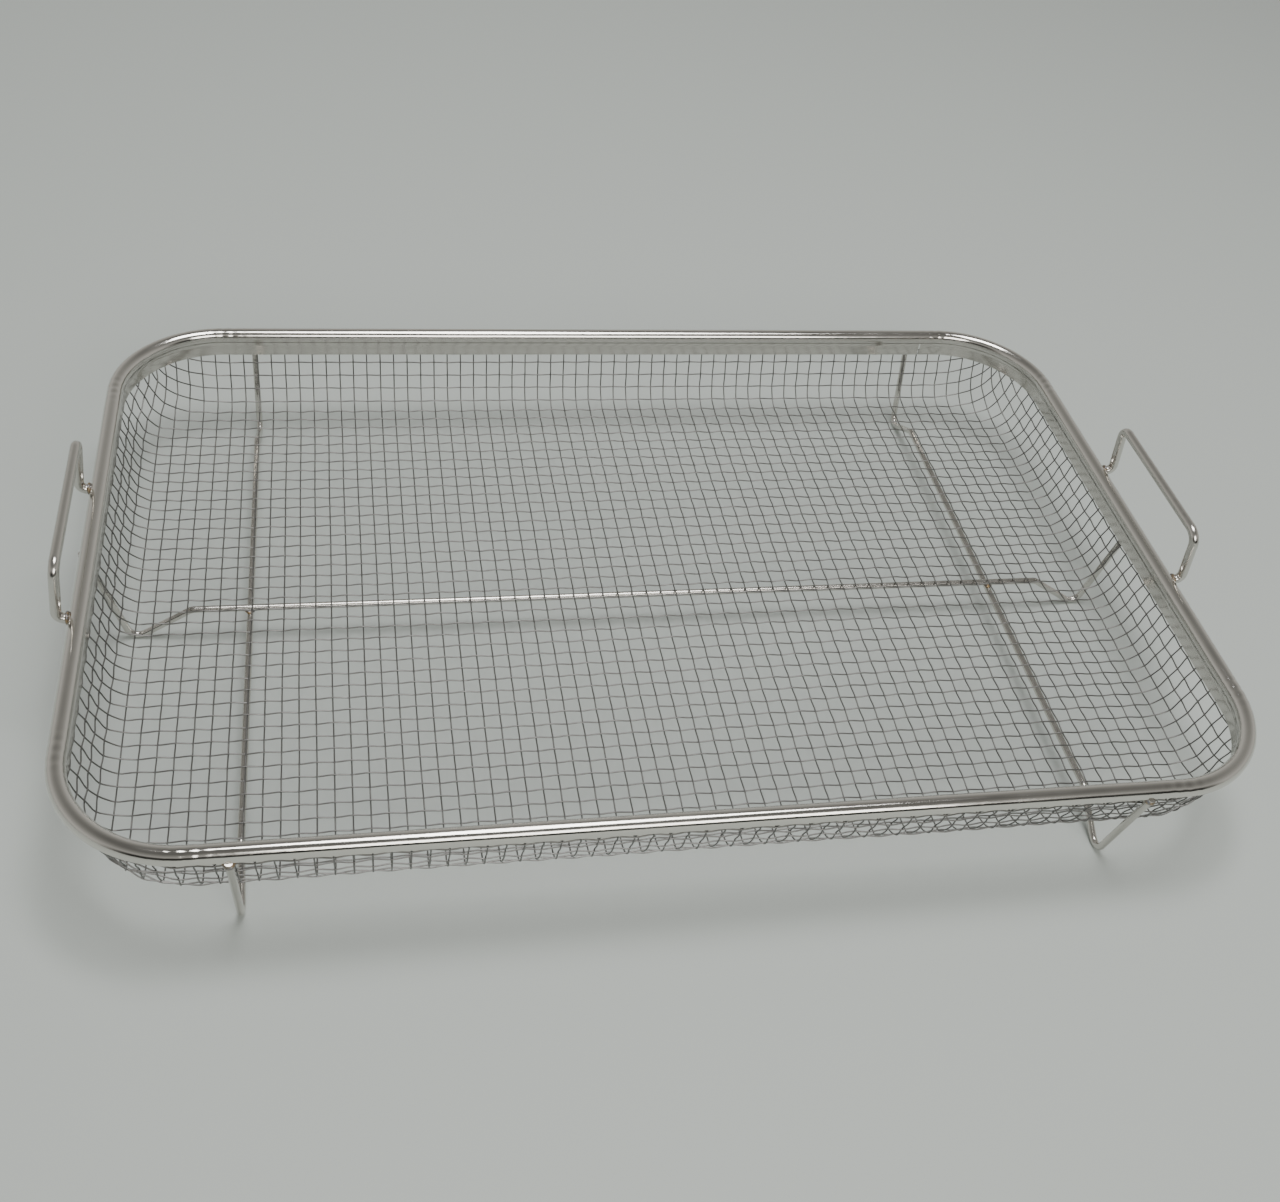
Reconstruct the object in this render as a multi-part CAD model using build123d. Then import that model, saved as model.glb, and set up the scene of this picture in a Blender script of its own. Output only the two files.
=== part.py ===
from build123d import *
import os
from math import acos, atan2, cos, hypot, radians, sin, sqrt, tan

# Grill basket: a shallow tray of woven wire mesh in a rolled rim, on three bent support wires,
# with a fixed wire handle at each end. Millimetres. X runs along the length, Z is up, and the
# origin is on the table, midway between the feet. The basket is symmetric about X = 0 and Y = 0.

# ---------------------------------------------------------------- driving dimensions
RIM_LENGTH = 448.0            # over the rim, along X
RIM_WIDTH = 301.0             # over the rim, along Y
RIM_HEIGHT = 48.5             # bead centre above the table
RIM_CORNER_RADIUS = 44.0      # at the bead centre
BEAD_DIAMETER = 7.4           # the rolled bead of the rim strip

STRIP_THICKNESS = 0.6         # sheet of the rim strip
BAND_DROP = 9.0               # lower edge of the inner band, below the bead centre
BAND_INSET = 1.0              # face of the inner band, outboard of the bead's innermost point
LIP_DROP = 5.0                # lower edge of the outer lip, below the bead centre
CORE_CLEARANCE = 0.1          # round the core wire inside the bead

MESH_WIRE = 0.6               # the panel is two layers of woven wires, which touch
MESH_SLOT_CLEARANCE = 0.1     # each side of the mesh edge, inside the rim strip
MESH_EDGE_DROP = 4.2          # cut edge of the mesh, below the bead centre
MESH_FLOOR_HEIGHT = 16.6      # middle of the mesh floor above the table
WALL_LEAN = 18.0              # degrees from upright, inward at the foot of the wall
FLOOR_FOLD_RADIUS = 10.0      # where the floor turns up into the wall
SLOT_FOLD_RADIUS = 6.0        # where the wall turns upright to enter the rim

SUPPORT_WIRE = 2.8
SUPPORT_WELD_GAP = 0.05       # between wires that are welded where they cross
CROSS_SUPPORT_SETBACK = 57.3  # each cross support, inboard of the bead centre at its end
CROSS_FLOOR_SETBACK = 30.0    # ends of its flat run, inboard of the panel's upright edge
CROSS_FOOT_SETBACK = 10.5     # lowest points of its feet, inboard of the panel's upright edge
LONG_FLOOR_SETBACK = 33.5     # the same for the long support
LONG_FOOT_SETBACK = 11.7
FOOT_RADIUS = 4.5             # centre line of the wire round a foot
FLOOR_BEND_RADIUS = 5.0       # centre line, from the flat run down to a foot
LEG_WELD_OFFSET = 4.2         # leg top, outboard of the panel's upright edge

HANDLE_WIRE = 4.0
HANDLE_SPAN = 74.0            # between the two legs of a handle
HANDLE_RISE = 25.0            # grip bar centre above the bead centre
HANDLE_REACH = 4.5            # foot of a leg, outboard of the rim
HANDLE_LEAN_IN = 3.0          # grip bar, inboard of the feet of its legs
HANDLE_FOOT_RADIUS = 3.2
HANDLE_GRIP_RADIUS = 5.5

# ---------------------------------------------------------------- derived sizes
bead_radius = BEAD_DIAMETER / 2
half_length = RIM_LENGTH / 2 - bead_radius      # bead centre line
half_width = RIM_WIDTH / 2 - bead_radius
corner_x = half_length - RIM_CORNER_RADIUS      # centres of the rim corners
corner_y = half_width - RIM_CORNER_RADIUS
core_radius = bead_radius - STRIP_THICKNESS - CORE_CLEARANCE

mesh_thickness = 2 * MESH_WIRE
slot_width = mesh_thickness + 2 * MESH_SLOT_CLEARANCE
band_face = bead_radius - BAND_INSET            # face of the inner band, inboard of the bead centre
lip_inner = band_face - STRIP_THICKNESS - slot_width    # inner face of the outer lip, inboard of the bead
panel_inset = lip_inner + MESH_SLOT_CLEARANCE   # panel's upright edge, inboard of the bead centre
mesh_edge_height = RIM_HEIGHT - MESH_EDGE_DROP
mesh_bottom = MESH_FLOOR_HEIGHT - mesh_thickness / 2


# ---------------------------------------------------------------- shared helpers
def bent_wire(points, radii, diameter):
    """A round wire along straight runs joined by tangent arcs, one radius for each corner."""
    points = [Vector(*point) for point in points]
    start = points[0]
    edges = []
    for before, here, after, radius in zip(points, points[1:], points[2:], radii):
        back = (before - here).normalized()
        ahead = (after - here).normalized()
        half_turn = radians(180 - back.get_angle(ahead)) / 2
        run = radius * tan(half_turn)
        middle = here + (back + ahead).normalized() * radius * (1 / cos(half_turn) - 1)
        arc = ThreePointArc(here + back * run, middle, here + ahead * run)
        edges += [Line(start, arc @ 0), arc]
        start = here + ahead * run
    path = Wire([*edges, Line(start, points[-1])])
    return sweep(Plane(origin=path @ 0, z_dir=path % 0) * Circle(diameter / 2), path=path)


def rim_ring(section):
    """A cross-section, drawn about the bead centre with X outward and Y up, carried round the rim."""
    face = Plane(origin=(half_length, 0, RIM_HEIGHT), x_dir=(1, 0, 0), z_dir=(0, -1, 0)) * section
    outline = RectangleRounded(2 * half_length, 2 * half_width, RIM_CORNER_RADIUS)
    path = Pos(0, 0, RIM_HEIGHT) * outline.wire()
    return sweep(face, path=path)


def save(body, node):
    """Write one node as a STEP file."""
    export_step(body, f"parts/{node}.step")
    print(f"{node}: {len(body.solids())} solid, {body.volume:.0f} mm3")


# ---------------------------------------------------------------- rim
def rim_strip():
    """Sheet strip rolled over the core wire, with an inner band and an outer lip that hold the mesh edge."""
    bead = Circle(bead_radius) - Circle(bead_radius - STRIP_THICKNESS)
    mouth = Pos(-lip_inner - slot_width / 2, -bead_radius / 2) * Rectangle(slot_width, bead_radius)
    middle_radius = bead_radius - STRIP_THICKNESS / 2
    band_middle = band_face - STRIP_THICKNESS / 2
    lip_middle = lip_inner - STRIP_THICKNESS / 2
    flanges = [(band_middle, BAND_DROP), (lip_middle, LIP_DROP)]
    section = bead - mouth
    for inboard, drop in flanges:
        top = sqrt(middle_radius ** 2 - inboard ** 2)
        section += Pos(-inboard, -(drop + top) / 2) * Rectangle(STRIP_THICKNESS, drop - top)
    return rim_ring(section)


def bead_envelope():
    """The space that the whole bead fills: wires welded to it are coped to this."""
    return rim_ring(Circle(bead_radius))


# ---------------------------------------------------------------- woven mesh
# The mesh is one flat panel drawn into the tray. Its section, from the floor outward, is a flat
# floor, a fold, a leaning wall and a short upright edge inside the rim. Round the rim's corners
# the same section is carried about the corner centres. The panel is a closed sheet as thick as
# its two layers of wires.

wall_angle = radians(90 - WALL_LEAN)                           # wall above the floor
edge_reach = RIM_CORNER_RADIUS - lip_inner - slot_width / 2    # upright edge, from the corner centre
band_bottom = RIM_HEIGHT - BAND_DROP
half_fold = tan(wall_angle / 2)
half_bend = tan(radians(WALL_LEAN) / 2)
wall_top = band_bottom - SLOT_FOLD_RADIUS * half_bend          # wall and upright edge would meet here
fold_reach = edge_reach - (wall_top - MESH_FLOOR_HEIGHT) / tan(wall_angle)   # floor and wall would meet here
floor_reach = (fold_reach - FLOOR_FOLD_RADIUS * half_fold) / 2  # the wall's section starts on the flat floor


def panel_face(shift):
    """One face of the panel's section, moved outward from its middle by a shift."""
    low = MESH_FLOOR_HEIGHT - shift
    points = [(floor_reach, low), (fold_reach + shift * half_fold, low),
              (edge_reach + shift, wall_top - shift * half_bend), (edge_reach + shift, mesh_edge_height)]
    return FilletPolyline(*points, radius=[FLOOR_FOLD_RADIUS + shift, SLOT_FOLD_RADIUS - shift])


def woven_mesh_panel():
    """The drawn panel: a folded wall carried round the rim, and the flat floor inside it."""
    outer = panel_face(mesh_thickness / 2)
    inner = panel_face(-mesh_thickness / 2)
    ends = [Line(outer @ 1, inner @ 1), Line(inner @ 0, outer @ 0)]
    section = make_face([*outer.edges(), *inner.edges(), *ends])
    wall = rim_ring(Pos(-RIM_CORNER_RADIUS, -RIM_HEIGHT) * section)
    outline = RectangleRounded(2 * (corner_x + floor_reach), 2 * (corner_y + floor_reach), floor_reach)
    return wall + Pos(0, 0, mesh_bottom) * extrude(outline, mesh_thickness)


# ---------------------------------------------------------------- supports
def touch_point(point, centre, radius, turn):
    """Where the tangent from a point touches a circle, on the side that turn (+1 or -1) names."""
    away = atan2(point[1] - centre[1], point[0] - centre[0])
    spread = turn * acos(radius / hypot(point[0] - centre[0], point[1] - centre[1]))
    return centre[0] + radius * cos(away + spread), centre[1] + radius * sin(away + spread)


def support_profile(panel_half, floor_setback, foot_setback, floor_height):
    """Corners of a support from one rim to the other: leg, foot, flat run, foot, leg."""
    bend = (panel_half - floor_setback, floor_height)
    leg_top = (panel_half + LEG_WELD_OFFSET, RIM_HEIGHT)
    centre = (panel_half - foot_setback, SUPPORT_WIRE / 2 + FOOT_RADIUS)
    inner = touch_point(bend, centre, FOOT_RADIUS, 1)
    outer = touch_point(leg_top, centre, FOOT_RADIUS, -1)
    middle = ((inner[0] + outer[0]) / 2 - centre[0], (inner[1] + outer[1]) / 2 - centre[1])
    reach = FOOT_RADIUS ** 2 / (middle[0] ** 2 + middle[1] ** 2)
    foot = (centre[0] + reach * middle[0], centre[1] + reach * middle[1])
    half = [bend, foot, leg_top]
    return [(-out, height) for out, height in reversed(half)] + half


support_radii = [FOOT_RADIUS, FLOOR_BEND_RADIUS, FLOOR_BEND_RADIUS, FOOT_RADIUS]
long_floor_height = mesh_bottom - SUPPORT_WELD_GAP - SUPPORT_WIRE / 2
cross_floor_height = long_floor_height - SUPPORT_WELD_GAP - SUPPORT_WIRE


def long_support(envelope):
    """The lengthwise wire, right under the mesh floor."""
    panel_half = half_length - panel_inset
    profile = support_profile(panel_half, LONG_FLOOR_SETBACK, LONG_FOOT_SETBACK, long_floor_height)
    return bent_wire([(out, 0, height) for out, height in profile], support_radii, SUPPORT_WIRE) - envelope


def cross_support(side, envelope):
    """A crosswise wire under the long one, on the side that the sign names."""
    panel_half = half_width - panel_inset
    profile = support_profile(panel_half, CROSS_FLOOR_SETBACK, CROSS_FOOT_SETBACK, cross_floor_height)
    place = side * (half_length - CROSS_SUPPORT_SETBACK)
    points = [(place, out, height) for out, height in profile]
    return bent_wire(points, support_radii, SUPPORT_WIRE) - envelope


# ---------------------------------------------------------------- handles
def handle(side, envelope):
    """A wire bail that stands over one end of the rim, with both feet welded to the bead's outer side."""
    foot = RIM_LENGTH / 2 + HANDLE_REACH
    grip = foot - HANDLE_LEAN_IN
    top = RIM_HEIGHT + HANDLE_RISE
    half_span = HANDLE_SPAN / 2
    half = [(grip, top), (foot, RIM_HEIGHT), (half_length, RIM_HEIGHT)]
    points = ([(side * out, -half_span, height) for out, height in reversed(half)]
              + [(side * out, half_span, height) for out, height in half])
    radii = [HANDLE_FOOT_RADIUS, HANDLE_GRIP_RADIUS, HANDLE_GRIP_RADIUS, HANDLE_FOOT_RADIUS]
    return bent_wire(points, radii, HANDLE_WIRE) - envelope


# ---------------------------------------------------------------- build
os.makedirs("parts", exist_ok=True)
envelope = bead_envelope()
save(rim_strip(), "rim_strip")
save(rim_ring(Circle(core_radius)), "rim_core_wire")
save(woven_mesh_panel(), "woven_mesh_panel")
save(long_support(envelope), "long_support")
save(cross_support(-1, envelope), "cross_support_left")
save(cross_support(1, envelope), "cross_support_right")
save(handle(-1, envelope), "handle_left")
save(handle(1, envelope), "handle_right")
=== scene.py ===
# %% [markdown]
# # A wire mesh grill basket
# The basket is a shallow tray of woven steel wire, held in a rolled steel rim. Three bent wires
# under it carry the floor and make the feet, and a wire handle stands on each end. The CAD
# model gives every size and place, so this lesson starts from its frame and builds the fine
# shapes and the steel finishes that the CAD model leaves plain.

# %% Load the frame and measure it
from math import acos, atan2, cos, hypot, pi, radians, sin, sqrt, tan

import bmesh
import bpy
from mathutils import Matrix, Vector, noise


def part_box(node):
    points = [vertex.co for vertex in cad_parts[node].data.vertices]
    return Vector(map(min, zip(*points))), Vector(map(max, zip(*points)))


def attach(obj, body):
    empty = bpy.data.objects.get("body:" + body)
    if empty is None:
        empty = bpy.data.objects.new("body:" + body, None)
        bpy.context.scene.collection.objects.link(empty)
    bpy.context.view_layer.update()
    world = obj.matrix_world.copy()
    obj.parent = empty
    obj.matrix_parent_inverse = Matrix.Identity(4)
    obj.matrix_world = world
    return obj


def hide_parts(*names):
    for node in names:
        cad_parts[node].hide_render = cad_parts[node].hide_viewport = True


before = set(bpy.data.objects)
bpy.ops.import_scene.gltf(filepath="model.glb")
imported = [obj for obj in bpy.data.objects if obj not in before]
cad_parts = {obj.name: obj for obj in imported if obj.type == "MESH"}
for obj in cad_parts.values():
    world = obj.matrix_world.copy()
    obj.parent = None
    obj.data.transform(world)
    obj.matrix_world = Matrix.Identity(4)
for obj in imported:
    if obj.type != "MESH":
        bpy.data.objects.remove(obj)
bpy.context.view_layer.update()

# %% [markdown]
# ## Sizes
# The rim's length, width and height come from the frame. Wire sizes are judged from their
# width beside the mesh's pitch, and the sheet's thickness is assumed. All are written once
# here, in metres, by way of a millimetre.

# %% Name the sizes
MM = 0.001
BEAD_RADIUS = 3.7 * MM
STRIP_THICKNESS = 0.6 * MM
BAND_INSET = 1.0 * MM
LIP_DROP = 5.0 * MM
CORNER_RADIUS = 44.0 * MM
MESH_PITCH = 6.35 * MM
MESH_WIRE = 0.6 * MM
SUPPORT_WIRE = 2.8 * MM
HANDLE_WIRE = 4.0 * MM

strip_low, strip_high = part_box("rim_strip")
mesh_low, mesh_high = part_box("woven_mesh_panel")
bead_height = strip_high.z - BEAD_RADIUS
band_bottom = strip_low.z
half_length = strip_high.x - BEAD_RADIUS
half_width = strip_high.y - BEAD_RADIUS
corner_x = half_length - CORNER_RADIUS
corner_y = half_width - CORNER_RADIUS
print(f"rim {2 * strip_high.x / MM:.0f} x {2 * strip_high.y / MM:.0f} mm")
print(f"bead centre {bead_height / MM:.1f} mm up")

# %% [markdown]
# ## Steel finishes
# Everything here is stainless steel, so the metal is one colour and the finish makes the
# difference. Sheet strip is polished almost to a mirror. Drawn wire keeps fine lines along
# its length. Crimped mesh wire is duller, because the crimping rolls mark it, and its colour
# is painted darker as shade, for the dark room that its thin wires mirror. One helper adds a
# shader node with its settings and links, and one turns sRGB colours to linear.

# %% Helpers for colours and shader nodes
def linear(hex_colour):
    """The linear colour of an sRGB hex value."""
    channels = [int(hex_colour[i:i + 2], 16) / 255 for i in (1, 3, 5)]
    return [c / 12.92 if c <= 0.04045 else ((c + 0.055) / 1.055) ** 2.4 for c in channels] + [1.0]


def add_node(owner, kind, settings=None, **inputs):
    """Adds a node to a material or a world; an input is a value, or another node's output to link."""
    node = owner.node_tree.nodes.new(kind)
    for name, value in (settings or {}).items():
        setattr(node, name, value)
    for name, value in inputs.items():
        socket = node.inputs[int(name[1:])] if name[1:].isdigit() else node.inputs[name.replace("_", " ")]
        if isinstance(value, bpy.types.NodeSocket):
            owner.node_tree.links.new(value, socket)
        else:
            socket.default_value = value
    return node


def new_steel(name, colour):
    """An empty steel material, with its shader, its output and its own coordinates."""
    material = bpy.data.materials.new(name)
    material.use_nodes = True
    material.node_tree.nodes.clear()
    shader = add_node(material, "ShaderNodeBsdfPrincipled", Base_Color=linear(colour), Metallic=1.0)
    add_node(material, "ShaderNodeOutputMaterial", Surface=shader.outputs[0])
    place = add_node(material, "ShaderNodeTexCoord").outputs["Object"]
    return material, shader, place


def vary_roughness(material, shader, pattern, low, high):
    """Lets a grey pattern move the shader's roughness between two values."""
    span = add_node(material, "ShaderNodeMapRange", Value=pattern, To_Min=low, To_Max=high)
    material.node_tree.links.new(span.outputs[0], shader.inputs["Roughness"])


def bump(material, shader, pattern, depth):
    """Lets a grey pattern move the surface by up to a depth in metres."""
    relief = add_node(material, "ShaderNodeBump", Height=pattern, Strength=1.0, Distance=depth)
    material.node_tree.links.new(relief.outputs[0], shader.inputs["Normal"])


# %% [markdown]
# The rim strip is polished stainless sheet. It mirrors the room with a slight haze, its
# reflections ripple a little because thin sheet never rolls quite flat, and faint smears make
# some places duller than others. One noise, about 9 mm wide, is the ripple, and a wider one
# with fine detail is the smears.

# %% Polished sheet
def polished_sheet():
    material, shader, place = new_steel("polished_stainless_sheet", "#D8D5CF")
    smear = add_node(material, "ShaderNodeTexNoise", Vector=place, Scale=1 / (14 * MM), Detail=6.0)
    vary_roughness(material, shader, smear.outputs[0], 0.05, 0.22)
    ripple = add_node(material, "ShaderNodeTexNoise", Vector=place, Scale=1 / (9 * MM), Detail=2.0)
    bump(material, shader, ripple.outputs[0], 0.05 * MM)
    return material


# %% [markdown]
# Drawn wire is pulled through a die, which leaves it bright with fine scratches along its
# length. The wires run along X, Y and Z by turns, so a fine noise with no direction stands for
# the scratches: at this size they only soften the highlight.

# %% Drawn and crimped wire
def drawn_wire(name, colour, low, high):
    material, shader, place = new_steel(name, colour)
    marks = add_node(material, "ShaderNodeTexNoise", Vector=place, Scale=1 / (2.5 * MM), Detail=8.0)
    vary_roughness(material, shader, marks.outputs[0], low, high)
    bump(material, shader, marks.outputs[0], 0.02 * MM)
    return material


def weld_metal():
    """Weld metal: greyer and rougher than the wire, with straw and blue-grey heat tint in patches."""
    material, shader, place = new_steel("heat_tinted_weld", "#9A948A")
    patches = add_node(material, "ShaderNodeTexNoise", Vector=place, Scale=1 / (1.5 * MM), Detail=4.0)
    tint = add_node(material, "ShaderNodeValToRGB", Fac=patches.outputs[0])
    for element, stop, colour in zip(tint.color_ramp.elements, (0.35, 0.65), ("#A58B62", "#8C9099")):
        element.position = stop
        element.color = linear(colour)
    material.node_tree.links.new(tint.outputs[0], shader.inputs["Base Color"])
    vary_roughness(material, shader, patches.outputs[0], 0.3, 0.5)
    bump(material, shader, patches.outputs[0], 0.08 * MM)
    return material


sheet_steel = polished_sheet()
wire_steel = drawn_wire("bright_drawn_stainless_wire", "#CFCCC6", 0.12, 0.28)
# The mesh wire's darker colour is painted shade, for the dark room that its thin wires mirror; its rougher
# finish is real.
mesh_steel = drawn_wire("crimped_stainless_wire_painted_shade", "#807F7D", 0.3, 0.46)
weld_steel = weld_metal()
print("finishes:", [m.name for m in (sheet_steel, wire_steel, mesh_steel, weld_steel)])

# %% [markdown]
# ## How a piece is finished
# A piece is a bmesh made an object at the origin. It gets its material, smooth shading with
# sharp edges only at real corners and its body, and the CAD nodes that it stands for are
# hidden.

# %% Helper that finishes a piece
SHARP_ANGLE = radians(50)


def finish_piece(bm, name, material, nodes=()):
    """Turns a bmesh into a finished piece of the basket."""
    bmesh.ops.recalc_face_normals(bm, faces=bm.faces)
    for face in bm.faces:
        face.smooth = True
    for edge in bm.edges:
        edge.smooth = len(edge.link_faces) == 2 and edge.calc_face_angle(0.0) < SHARP_ANGLE
    mesh = bpy.data.meshes.new(name)
    bm.to_mesh(mesh)
    bm.free()
    piece = bpy.data.objects.new(name, mesh)
    bpy.context.collection.objects.link(piece)
    piece.data.materials.append(material)
    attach(piece, "root")
    if nodes:
        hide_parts(*nodes)
    print(f"{name}: {len(mesh.vertices)} points, {len(mesh.polygons)} faces")
    return piece


# %% [markdown]
# ## The rim strip
# The rim is one strip of thin sheet. Its section goes up the inner band, over the core wire
# and down to a short lip, and the mesh edge is pinched between band and lip. The section is
# drawn by extruding and spinning a single point. It is then carried round the rim in the same
# way, straight along each side and spun round each corner. The steps are finer near the
# corners, where the sheet is dented. Solidify gives the sheet its thickness last.

# %% Draw the section of the strip
BEAD_STEPS = 52
CORNER_STEPS = 60
SIDE_STEP = 7 * MM
FINE_RUN = 14 * MM
FINE_STEP = 1 * MM
MERGE_RIM = 0.01 * MM


def extrude_to(bm, verts, edges, move, steps=1):
    """Extrudes points or edges along a vector in equal steps, and returns the last ones."""
    for _ in range(steps):
        if edges:
            made = bmesh.ops.extrude_edge_only(bm, edges=edges)["geom"]
        else:
            made = bmesh.ops.extrude_vert_indiv(bm, verts=verts)
            made = made["verts"] + made["edges"]
        verts = [part for part in made if isinstance(part, bmesh.types.BMVert)]
        if edges:
            edges = [part for part in made if isinstance(part, bmesh.types.BMEdge)]
        bmesh.ops.translate(bm, verts=verts, vec=move / steps)
    return verts, edges


def spin_round(bm, geom, centre, axis, angle, steps):
    """Spins points or edges about an axis, and returns the last ones."""
    made = bmesh.ops.spin(bm, geom=geom, cent=centre, axis=axis, angle=angle, steps=steps)["geom_last"]
    verts = [part for part in made if isinstance(part, bmesh.types.BMVert)]
    edges = [part for part in made if isinstance(part, bmesh.types.BMEdge)]
    return verts, edges


middle_radius = BEAD_RADIUS - STRIP_THICKNESS / 2
band_out = -(BEAD_RADIUS - BAND_INSET - STRIP_THICKNESS / 2)
slot_width = 2 * MESH_WIRE + 0.2 * MM
lip_out = band_out + STRIP_THICKNESS + slot_width
band_top = -sqrt(middle_radius ** 2 - band_out ** 2)
lip_top = -sqrt(middle_radius ** 2 - lip_out ** 2)


def strip_section(bm):
    """Draws the middle line of the strip, beside the middle of the right-hand side of the rim."""
    bead_centre = Vector((half_length, 0, bead_height))
    verts = [bm.verts.new((half_length + band_out, 0, band_bottom))]
    rise = Vector((0, 0, bead_height + band_top - band_bottom))
    verts, _ = extrude_to(bm, verts, None, rise, steps=4)
    turn = 2 * pi - atan2(-band_top, -band_out) - atan2(-lip_out, -lip_top) - pi / 2
    verts, _ = spin_round(bm, verts, bead_centre, (0, 1, 0), turn, BEAD_STEPS)
    extrude_to(bm, verts, None, Vector((0, 0, lip_top * -1 - LIP_DROP)), steps=2)


# %% [markdown]
# Carrying the section round the rim is four straight runs and four quarter turns. The first
# section meets the last one, and the doubled points are merged.

# %% Carry the section round the rim
def straight_run(bm, edges, heading, run, fine_start=True, fine_end=True):
    """Carries the section along one side, in finer steps beside a corner."""
    plain = run - FINE_RUN * (fine_start + fine_end)
    parts = [(FINE_RUN, FINE_STEP)] * fine_start + [(plain, SIDE_STEP)] + [(FINE_RUN, FINE_STEP)] * fine_end
    for length, step in parts:
        _, edges = extrude_to(bm, None, edges, heading * length, steps=round(length / step))
    return edges


def round_rim(bm):
    """Carries the open section round the whole rim."""
    edges = list(bm.edges)
    heading = Vector((0, 1, 0))
    corners = [Vector((corner_x, corner_y, 0)), Vector((-corner_x, corner_y, 0)),
               Vector((-corner_x, -corner_y, 0)), Vector((corner_x, -corner_y, 0))]
    runs = [corner_y, 2 * corner_x, 2 * corner_y, 2 * corner_x]
    for number, (corner, run) in enumerate(zip(corners, runs)):
        edges = straight_run(bm, edges, heading, run, fine_start=number > 0)
        _, edges = spin_round(bm, edges, corner, (0, 0, 1), pi / 2, CORNER_STEPS)
        heading = Vector((-heading.y, heading.x, 0))
    straight_run(bm, edges, heading, corner_y, fine_end=False)
    bmesh.ops.remove_doubles(bm, verts=bm.verts, dist=MERGE_RIM)


rim = bmesh.new()
strip_section(rim)
round_rim(rim)
print("rim sheet:", len(rim.verts), "points,", len([e for e in rim.edges if e.is_boundary]), "edge segments")


# %% [markdown]
# Rolling the strip round a corner leaves small cross dents on the bead where each bend starts
# and ends, and the sheet is nowhere perfectly even. Both are moves of the sheet toward or away
# from the bead's centre line, far too small to change the rim's size. The strip is one length,
# so its two ends meet, and a narrow gap in both flanges shows where.

# %% Dent the bead where the bends start and end
DENT_DEPTH = 0.12 * MM
DENT_SPACING = 4.5 * MM
DENT_REACH = 9.0 * MM
UNEVENNESS = 0.05 * MM
JOINT_PLACE = corner_x - 8 * MM
JOINT_GAP = 0.7 * MM


def bead_frame(point):
    """The bead's centre nearest to a point, and the distance past the start of the rim's corner."""
    inward = Vector((max(-corner_x, min(corner_x, point.x)), max(-corner_y, min(corner_y, point.y)), 0))
    away = Vector((point.x - inward.x, point.y - inward.y, 0))
    centre = inward + away.normalized() * CORNER_RADIUS
    turned = CORNER_RADIUS * atan2(abs(away.y), abs(away.x))
    in_corner = abs(away.x) > 0 and abs(away.y) > 0
    past_x = abs(point.x) - corner_x
    past_y = abs(point.y) - corner_y
    past = min(turned, CORNER_RADIUS * pi / 2 - turned) if in_corner else min(past_x, past_y)
    return Vector((centre.x, centre.y, bead_height)), past


def shape_bead(bm):
    """Adds the dents and the unevenness to the sheet."""
    for vert in bm.verts:
        centre, past = bead_frame(vert.co)
        off = vert.co - centre
        dent = DENT_DEPTH * cos(2 * pi * past / DENT_SPACING) / (1 + (past / DENT_REACH) ** 4) ** 2
        if off.z < band_top:
            dent = 0.0
        uneven = UNEVENNESS * noise.noise(vert.co / (16 * MM))
        vert.co += off.normalized() * (uneven - abs(dent) * 0.5 - dent * 0.5)


def slit_joint(bm):
    """Opens the narrow gap in both flanges where the two ends of the strip meet."""
    for edge in (JOINT_PLACE - JOINT_GAP / 2, JOINT_PLACE + JOINT_GAP / 2):
        geom = bm.verts[:] + bm.edges[:] + bm.faces[:]
        bmesh.ops.bisect_plane(bm, geom=geom, plane_co=(edge, 0, 0), plane_no=(1, 0, 0))
    gap = []
    for face in bm.faces:
        middle = face.calc_center_median()
        if abs(middle.x - JOINT_PLACE) < JOINT_GAP / 2 and middle.y > 0 and middle.z < bead_height + band_top:
            gap.append(face)
    bmesh.ops.delete(bm, geom=gap, context="FACES")


shape_bead(rim)
slit_joint(rim)
bmesh.ops.recalc_face_normals(rim, faces=rim.faces)
bmesh.ops.solidify(rim, geom=rim.faces, thickness=STRIP_THICKNESS)
rim_piece = finish_piece(rim, "rolled_rim_strip", sheet_steel, ["rim_strip"])
print("rim box:", [round(v / MM, 2) for v in rim_piece.dimensions])

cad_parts["rim_core_wire"].data.materials.clear()
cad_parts["rim_core_wire"].data.materials.append(wire_steel)

# %% [markdown]
# ## Bent wires
# Supports and handles are round wire bent on a die, so each is straight runs joined by true
# arcs. A ring of points is extruded along each run and spun round each bend, as the wire
# itself is bent, and both ends are filled.

# %% Helper that bends a wire
WIRE_SIDES = 28
WIRE_STEP = 12 * MM
BEND_STEP = radians(7)


def bent_wire(bm, points, radii, diameter):
    """Adds a round wire along straight runs joined by tangent arcs."""
    heading = (points[1] - points[0]).normalized()
    stand = Matrix.Translation(points[0]) @ heading.to_track_quat("Z", "Y").to_matrix().to_4x4()
    ring = bmesh.ops.create_circle(bm, segments=WIRE_SIDES, radius=diameter / 2, matrix=stand)["verts"]
    first = edges = list({edge for vert in ring for edge in vert.link_edges})
    start = points[0]
    for here, after, radius in zip(points[1:], points[2:], radii):
        ahead = (after - here).normalized()
        turn = heading.angle(ahead)
        run = here - heading * radius * tan(turn / 2) - start
        _, edges = extrude_to(bm, None, edges, run, steps=max(1, round(run.length / WIRE_STEP)))
        axis = heading.cross(ahead).normalized()
        centre = start + run + axis.cross(heading) * radius
        _, edges = spin_round(bm, edges, centre, axis, turn, max(3, round(turn / BEND_STEP)))
        start = here + ahead * radius * tan(turn / 2)
        heading = ahead
    run = points[-1] - start
    _, edges = extrude_to(bm, None, edges, run, steps=max(1, round(run.length / WIRE_STEP)))
    bmesh.ops.holes_fill(bm, edges=first, sides=WIRE_SIDES)
    bmesh.ops.holes_fill(bm, edges=edges, sides=WIRE_SIDES)


# %% [markdown]
# ## The three supports
# Each support wire runs under the mesh floor, drops outward to a foot, turns up round it and
# climbs to the outer side of the bead. The places are measured from the mesh panel's upright
# edge, so the legs keep clear of it. The foot is a circle that touches the table, and the
# two straight parts beside it are tangents to that circle, so the corner between them follows
# from the circle.

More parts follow.
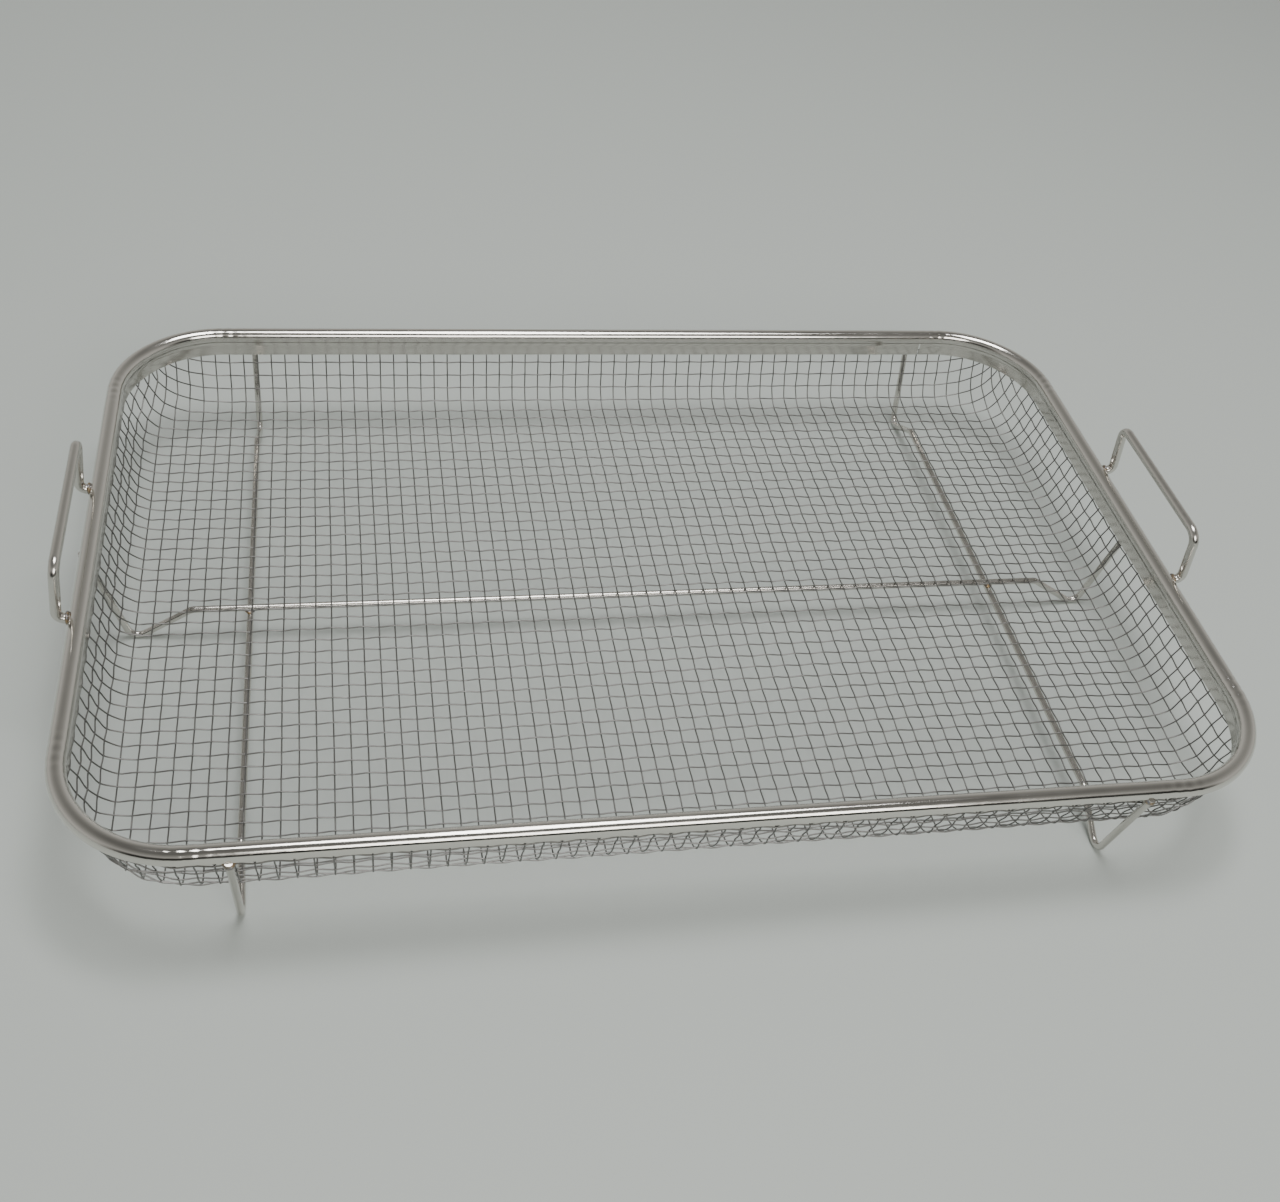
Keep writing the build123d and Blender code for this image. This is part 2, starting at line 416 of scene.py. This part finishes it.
# %% Bend the supports
FOOT_RADIUS = 4.5 * MM
FLOOR_BEND_RADIUS = 5.0 * MM
LEG_WELD_OFFSET = 4.2 * MM
WELD_GAP = 0.05 * MM
CROSS_FLOOR_SETBACK = 30.0 * MM
CROSS_FOOT_SETBACK = 10.5 * MM
LONG_FLOOR_SETBACK = 33.5 * MM
LONG_FOOT_SETBACK = 11.7 * MM
LEG_TRIM = 1.2 * MM
panel_half_length = mesh_high.x
panel_half_width = mesh_high.y


def touch_point(point, centre, radius, side):
    """Where the tangent from a point touches a circle, on the side that the sign names."""
    off = point - centre
    away = atan2(off.y, off.x) + side * acos(radius / off.length)
    return centre + radius * Vector((cos(away), sin(away)))


def support_profile(panel_half, floor_setback, foot_setback, floor_height):
    """Corners of a support, as distance out from the middle and height."""
    bend = Vector((panel_half - floor_setback, floor_height))
    leg_top = Vector((panel_half + LEG_WELD_OFFSET, bead_height))
    centre = Vector((panel_half - foot_setback, SUPPORT_WIRE / 2 + FOOT_RADIUS))
    inner = touch_point(bend, centre, FOOT_RADIUS, 1)
    outer = touch_point(leg_top, centre, FOOT_RADIUS, -1)
    middle = (inner + outer) / 2 - centre
    foot = centre + middle * (FOOT_RADIUS ** 2 / middle.length_squared)
    leg_end = leg_top + (foot - leg_top).normalized() * LEG_TRIM
    half = [bend, foot, leg_end]
    return [Vector((-out, height)) for out, height in reversed(half)] + half


long_floor = mesh_low.z - WELD_GAP - SUPPORT_WIRE / 2
cross_floor = long_floor - WELD_GAP - SUPPORT_WIRE
support_radii = [FOOT_RADIUS, FLOOR_BEND_RADIUS, FLOOR_BEND_RADIUS, FOOT_RADIUS]

wire = bmesh.new()
profile = support_profile(panel_half_length, LONG_FLOOR_SETBACK, LONG_FOOT_SETBACK, long_floor)
bent_wire(wire, [Vector((out, 0, height)) for out, height in profile], support_radii, SUPPORT_WIRE)
finish_piece(wire, "lengthwise_support_wire", wire_steel, ["long_support"])

for side in ("left", "right"):
    low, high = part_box(f"cross_support_{side}")
    wire = bmesh.new()
    profile = support_profile(panel_half_width, CROSS_FLOOR_SETBACK, CROSS_FOOT_SETBACK, cross_floor)
    points = [Vector(((low.x + high.x) / 2, out, height)) for out, height in profile]
    bent_wire(wire, points, support_radii, SUPPORT_WIRE)
    name = f"crosswise_support_wire_{side}"
    finish_piece(wire, name, wire_steel, [f"cross_support_{side}"])

# %% [markdown]
# ## The handles
# A handle is a wire bail. Its legs turn outward at the foot into short stubs, which butt
# against the bead and are welded to it, so it stands up and doesn't swing.

# %% Bend the handles
HANDLE_SPAN = 74 * MM
HANDLE_LEAN_IN = 3.0 * MM
HANDLE_FOOT_RADIUS = 3.2 * MM
HANDLE_GRIP_RADIUS = 5.5 * MM
HANDLE_STUB_DEPTH = 1.0 * MM
handle_low, handle_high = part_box("handle_right")
handle_foot_out = handle_high.x - HANDLE_WIRE / 2
grip_height = handle_high.z - HANDLE_WIRE / 2


def handle_points(sign):
    """Corners of a handle, on the side that the sign names."""
    half = [Vector((handle_foot_out - HANDLE_LEAN_IN, 0, grip_height)),
            Vector((handle_foot_out, 0, bead_height)),
            Vector((half_length + BEAD_RADIUS - HANDLE_STUB_DEPTH, 0, bead_height))]
    across = Vector((0, HANDLE_SPAN / 2, 0))
    points = [p - across for p in reversed(half)] + [p + across for p in half]
    return [Vector((p.x * sign, p.y, p.z)) for p in points]


for side, sign in (("left", -1), ("right", 1)):
    wire = bmesh.new()
    radii = [HANDLE_FOOT_RADIUS, HANDLE_GRIP_RADIUS, HANDLE_GRIP_RADIUS, HANDLE_FOOT_RADIUS]
    bent_wire(wire, handle_points(sign), radii, HANDLE_WIRE)
    finish_piece(wire, f"handle_wire_{side}", wire_steel, [f"handle_{side}"])

# %% [markdown]
# ## The welds
# Each end of a support or handle is welded to the bead, and the supports where they cross. A weld is a
# small lump of metal, so each is a flattened ball with an uneven surface, set where the two
# pieces touch and turned to lie along the joint.

# %% Lay the welds
HANDLE_WELD = Vector((1.1, 2.7, 2.7)) * MM
LEG_WELD = Vector((2.1, 2.1, 1.5)) * MM
CROSSING_WELD = Vector((2.0, 2.0, 0.9)) * MM
WELD_LUMPS = 0.25 * MM
WELD_LUMP_WIDTH = 1.3 * MM


def weld(bm, place, size, tilt=0.0, turn=0.0):
    """Adds one lump of weld metal with three half-sizes, tilted about its Y and then turned about Z."""
    stand = (Matrix.Translation(place) @ Matrix.Rotation(turn, 4, "Z") @ Matrix.Rotation(tilt, 4, "Y")
             @ Matrix.Diagonal((*size, 1.0)))
    made = bmesh.ops.create_icosphere(bm, subdivisions=4, radius=1.0, matrix=stand)
    for vert in made["verts"]:
        lump = noise.noise(vert.co / WELD_LUMP_WIDTH)
        vert.co += (vert.co - place).normalized() * lump * WELD_LUMPS


def leg_weld_place(rim_half, panel_half, foot_setback):
    """Where the middle of a leg meets the bead, as distance out and height, and the leg's slope."""
    slope = atan2(bead_height - SUPPORT_WIRE, foot_setback + LEG_WELD_OFFSET)
    along = Vector((cos(slope), sin(slope)))
    top = Vector((panel_half + LEG_WELD_OFFSET - rim_half, 0.0))
    reach = top.dot(along) + sqrt(top.dot(along) ** 2 + BEAD_RADIUS ** 2 - top.length_squared)
    place = top - along * reach
    return rim_half + place.x, bead_height + place.y, slope


bm = bmesh.new()
for sign in (-1, 1):
    for across in (-1, 1):
        place = Vector((sign * (half_length + BEAD_RADIUS), across * HANDLE_SPAN / 2, bead_height))
        weld(bm, place, HANDLE_WELD)
finish_piece(bm, "handle_welds", weld_steel)

bm = bmesh.new()
cross_place = (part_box("cross_support_right")[0].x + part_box("cross_support_right")[1].x) / 2
for sign in (-1, 1):
    out, height, slope = leg_weld_place(half_length, panel_half_length, LONG_FOOT_SETBACK)
    weld(bm, Vector((sign * out, 0, height)), LEG_WELD, tilt=sign * (pi / 2 - slope))
    weld(bm, Vector((sign * cross_place, 0, long_floor - SUPPORT_WIRE / 2)), CROSSING_WELD)
    out, height, slope = leg_weld_place(half_width, panel_half_width, CROSS_FOOT_SETBACK)
    for across in (-1, 1):
        turn = across * pi / 2
        weld(bm, Vector((sign * cross_place, across * out, height)), LEG_WELD, tilt=pi / 2 - slope, turn=turn)
finish_piece(bm, "support_welds", weld_steel)

# %% [markdown]
# ## The woven panel
# The mesh is plain woven: each wire goes over one crossing wire and under the next. A flat
# panel is pressed into the tray, and at the round corners it can't stretch, because steel
# wires don't. Instead the square openings shear into diamonds, as cloth does over a table's
# corner. So the crossings are found one by one: each new crossing lies on the tray's surface,
# one pitch from two crossings that are already known.

# %% Describe the tray's surface
WALL_LEAN = radians(18)
FLOOR_FOLD_RADIUS = 10.0 * MM
SLOT_FOLD_RADIUS = 6.0 * MM
MESH_EDGE_DROP = 4.2 * MM
mesh_floor = mesh_low.z + MESH_WIRE
mesh_edge = bead_height - MESH_EDGE_DROP
edge_reach = CORNER_RADIUS + lip_out - STRIP_THICKNESS / 2 - slot_width / 2
wall_angle = pi / 2 - WALL_LEAN
wall_top = band_bottom - SLOT_FOLD_RADIUS * tan(WALL_LEAN / 2)
fold_reach = edge_reach - (wall_top - mesh_floor) / tan(wall_angle)
fold_centre = Vector((fold_reach - FLOOR_FOLD_RADIUS * tan(wall_angle / 2), mesh_floor + FLOOR_FOLD_RADIUS))


def tray_distance(point):
    """Distance of a point of the first quarter from the tray's surface, positive outside."""
    over_x = point.x - corner_x
    over_y = point.y - corner_y
    out = hypot(over_x, over_y) if over_x > 0 and over_y > 0 else max(over_x, over_y)
    if out <= fold_centre.x:
        return mesh_floor - point.z
    if atan2(out - fold_centre.x, fold_centre.y - point.z) <= wall_angle:
        return hypot(out - fold_centre.x, point.z - fold_centre.y) - FLOOR_FOLD_RADIUS
    wall = (out - fold_reach) * sin(wall_angle) - (point.z - mesh_floor) * cos(wall_angle)
    return min(wall, out - edge_reach) if point.z > band_bottom else wall


def tray_normal(point):
    """Outward normal of the tray's surface near a point."""
    step = 0.001 * MM
    slope = Vector()
    for axis in range(3):
        shift = Vector([step * (k == axis) for k in range(3)])
        slope[axis] = tray_distance(point + shift) - tray_distance(point - shift)
    return slope.normalized()


def onto_tray(point):
    """The point of the tray's surface nearest to a point beside it."""
    for _ in range(3):
        point = point - tray_normal(point) * tray_distance(point)
    return point


print(f"mesh floor {mesh_floor / MM:.2f} mm up, mesh edge {mesh_edge / MM:.2f} mm up")


# %% Find the crossings of a quarter of the panel
def next_crossing(beside, before, shared):
    """The crossing one pitch from two neighbours, opposite the crossing that they share."""
    guess = onto_tray(beside + before - shared)
    for _ in range(8):
        rows = Matrix((2 * (guess - beside), 2 * (guess - before), tray_normal(guess)))
        gaps = Vector(((guess - beside).length_squared - MESH_PITCH ** 2,
                       (guess - before).length_squared - MESH_PITCH ** 2, tray_distance(guess)))
        guess = guess - rows.inverted_safe() @ gaps
    return guess


def first_line(axis):
    """Crossings along the wire half a pitch from the middle, up to the mesh's cut edge."""
    line = [Vector((MESH_PITCH / 2, MESH_PITCH / 2, mesh_floor))]
    heading = Vector([float(k == axis) for k in range(3)])
    while line[-1].z < mesh_edge:
        guess = line[-1] + heading * MESH_PITCH
        for _ in range(6):
            guess = onto_tray(guess)
            guess = line[-1] + (guess - line[-1]).normalized() * MESH_PITCH
        heading = (guess - line[-1]).normalized()
        line.append(guess)
    return line


along_x = first_line(0)
along_y = first_line(1)
net = {(i, 0): point for i, point in enumerate(along_x)} | {(0, j): point for j, point in enumerate(along_y)}
for i in range(1, len(along_x)):
    for j in range(1, len(along_y)):
        sides = net.get((i - 1, j)), net.get((i, j - 1)), net.get((i - 1, j - 1))
        if all(sides) and min(sides[0].z, sides[1].z) < mesh_edge:
            net[i, j] = next_crossing(*sides)
print("crossings in a quarter of the panel:", len(net))


# %% [markdown]
# Each wire is one smooth curve. At a crossing it stands half a wire inside or outside the
# panel's middle, by turns, and between crossings it is at the middle. A cubic spline passes
# inside its control points, so the points stand one and a half times as far out as the wire
# should. The panel is never quite even, so crossings are also moved by a slow noise.

# %% Weave the wires
CRIMP = 0.5 * MESH_WIRE * 1.5
WANDER = 0.3 * MM


def wandered(point):
    """A crossing moved a little along the panel, by a noise that changes slowly over it."""
    seed = point / (45 * MM)
    drift = Vector((noise.noise(seed), noise.noise(seed + Vector((7.3, 1.9, 4.1))), 0))
    return point + drift * WANDER


def wire_points(line, sign_x, sign_y, axis, row):
    """Control points of one whole wire, crimped over and under, from its half line in the first quarter."""
    halves = []
    for sign in (-1, 1):
        flip = Vector((sign, sign_y, 1)) if axis == 0 else Vector((sign_x, sign, 1))
        half = []
        for k, point in enumerate(line):
            number = k if sign > 0 else -1 - k
            over = 1 if (number + row + axis) % 2 else -1
            normal = tray_normal(point)
            here = wandered(Vector([a * b for a, b in zip(point, flip)]))
            half.append((here, Vector([a * b for a, b in zip(normal, flip)]), over))
        halves.append(half)
    whole = list(reversed(halves[0])) + halves[1]
    controls = []
    for (here, normal, over), (after, next_normal, _) in zip(whole, whole[1:]):
        controls += [here + normal * over * CRIMP, (here + after) / 2]
    last, normal, over = whole[-1]
    return controls + [last + normal * over * CRIMP]


def cut_line(points):
    """A line of crossings, ended at the mesh's cut edge."""
    kept = []
    for point in points:
        if point is None:
            break
        if point.z >= mesh_edge:
            if kept:
                share = (mesh_edge - kept[-1].z) / (point.z - kept[-1].z)
                kept.append(kept[-1].lerp(point, share))
            break
        kept.append(point)
    return kept


def weave(name, wires):
    """Makes a family of wires: one spline for each, swept with a round section."""
    curve = bpy.data.curves.new(name, "CURVE")
    curve.dimensions = "3D"
    curve.bevel_depth = MESH_WIRE / 2
    curve.bevel_resolution = 2
    curve.resolution_u = 2
    curve.use_fill_caps = True
    for controls in wires:
        spline = curve.splines.new("NURBS")
        spline.points.add(len(controls) - 1)
        for point, place in zip(spline.points, controls):
            point.co = (*place, 1.0)
        spline.order_u = 4
        spline.use_endpoint_u = True
        spline.use_smooth = True
    holder = bpy.data.objects.new(name, curve)
    bpy.context.collection.objects.link(holder)
    bpy.context.view_layer.update()
    mesh = bpy.data.meshes.new_from_object(holder.evaluated_get(bpy.context.evaluated_depsgraph_get()))
    bpy.data.objects.remove(holder)
    bm = bmesh.new()
    bm.from_mesh(mesh)
    bpy.data.meshes.remove(mesh)
    bmesh.ops.remove_doubles(bm, verts=bm.verts, dist=0.001 * MM)
    finish_piece(bm, name, mesh_steel, ["woven_mesh_panel"])


for axis, family in ((0, "lengthwise"), (1, "crosswise")):
    rows = len(along_y) if axis == 0 else len(along_x)
    columns = len(along_x) if axis == 0 else len(along_y)
    for half, sign in (("first", -1), ("second", 1)):
        wires = []
        for row in range(rows):
            keys = [(k, row) if axis == 0 else (row, k) for k in range(columns)]
            line = cut_line([net.get(key) for key in keys])
            if len(line) > 1:
                number = row if sign > 0 else -1 - row
                wires.append(wire_points(line, sign, sign, axis, number))
        weave(f"mesh_{family}_wires_{half}_half", wires)

# %% [markdown]
# ## Floor, light and camera
# The basket stands on a plain pale floor. Polished steel shows only what is round it, so the
# light is what draws it: a wide soft ceiling, a soft window high in front, and a dim room. The
# room's walls are paler than its top, and its front is nearly black low down, which is what
# gives the rolled bead its thin dark line beside the highlights.

# %% Floor
bm = bmesh.new()
bmesh.ops.create_grid(bm, x_segments=1, y_segments=1, size=3.0)
floor_mesh = bpy.data.meshes.new("floor")
bm.to_mesh(floor_mesh)
bm.free()
floor = bpy.data.objects.new("floor", floor_mesh)
bpy.context.collection.objects.link(floor)
pale = bpy.data.materials.new("pale_matt_board")
pale.use_nodes = True
pale.node_tree.nodes["Principled BSDF"].inputs["Base Color"].default_value = linear("#C2C8C4")
pale.node_tree.nodes["Principled BSDF"].inputs["Roughness"].default_value = 0.6
floor_mesh.materials.append(pale)


# %% Light
FRONT_FADE = (-0.35, -0.75)
LOW_FADE = (0.5, 0.3)
WALL_FADE = (0.3, 0.9)
WALL_LIGHT = 0.55
TOP_LIGHT = 0.15
FRONT_SHADE = 0.06


def soft_light(name, place, aim, size, size_y, power, colour):
    """A rectangular soft light that faces a point."""
    data = bpy.data.lights.new(name, "AREA")
    data.shape = "RECTANGLE"
    data.size = size
    data.size_y = size_y
    data.energy = power
    data.color = linear(colour)[:3]
    light = bpy.data.objects.new(name, data)
    light.location = place
    light.rotation_euler = (Vector(aim) - Vector(place)).to_track_quat("-Z", "Y").to_euler()
    bpy.context.collection.objects.link(light)


centre = Vector((0, 0, bead_height))
soft_light("ceiling", (0.1, 0.1, 1.7), centre, 0.8, 0.8, 20, "#FFFFFF")
soft_light("window", (0.25, -1.5, 1.0), centre, 1.0, 0.7, 12, "#FFFDF8")

world = bpy.data.worlds.new("dim_room")
world.use_nodes = True
bpy.context.scene.world = world
direction = add_node(world, "ShaderNodeTexCoord").outputs["Generated"]
parts = add_node(world, "ShaderNodeSeparateXYZ", Vector=direction)
front = add_node(world, "ShaderNodeMapRange", {"interpolation_type": "SMOOTHSTEP"}, Value=parts.outputs["Y"],
                 From_Min=FRONT_FADE[0], From_Max=FRONT_FADE[1])
low = add_node(world, "ShaderNodeMapRange", {"interpolation_type": "SMOOTHSTEP"}, Value=parts.outputs["Z"],
               From_Min=LOW_FADE[0], From_Max=LOW_FADE[1])
shade = add_node(world, "ShaderNodeMath", {"operation": "MULTIPLY"}, _0=front.outputs[0], _1=low.outputs[0])
walls = add_node(world, "ShaderNodeMapRange", Value=parts.outputs["Z"], From_Min=WALL_FADE[0],
                 From_Max=WALL_FADE[1], To_Min=WALL_LIGHT, To_Max=TOP_LIGHT)
level = add_node(world, "ShaderNodeMapRange", Value=shade.outputs[0], To_Min=1.0, To_Max=FRONT_SHADE)
room = add_node(world, "ShaderNodeMath", {"operation": "MULTIPLY"}, _0=walls.outputs[0], _1=level.outputs[0])
background = world.node_tree.nodes["Background"]
background.inputs["Color"].default_value = linear("#FBFAF4")
world.node_tree.links.new(room.outputs[0], background.inputs["Strength"])

# %% Camera
CAMERA_AZIMUTH = radians(-15.8)
CAMERA_ELEVATION = radians(43.56)
CAMERA_ROLL = radians(9.0)
CAMERA_DISTANCE = 0.557
CAMERA_AIM = Vector((-0.0098, -0.0386, bead_height))
back = Vector((sin(CAMERA_AZIMUTH) * cos(CAMERA_ELEVATION),
               -cos(CAMERA_AZIMUTH) * cos(CAMERA_ELEVATION), sin(CAMERA_ELEVATION)))
across = Vector((0, 0, 1)).cross(back).normalized()
turned = Matrix.Rotation(CAMERA_ROLL, 3, back) @ across
upright = back.cross(turned)
camera_data = bpy.data.cameras.new("camera")
camera_data.sensor_width = 36
camera_data.lens = 39.5
camera = bpy.data.objects.new("camera", camera_data)
bpy.context.collection.objects.link(camera)
pose = Matrix((turned, upright, back)).transposed().to_4x4()
camera.matrix_world = Matrix.Translation(CAMERA_AIM + back * CAMERA_DISTANCE) @ pose
bpy.context.scene.camera = camera
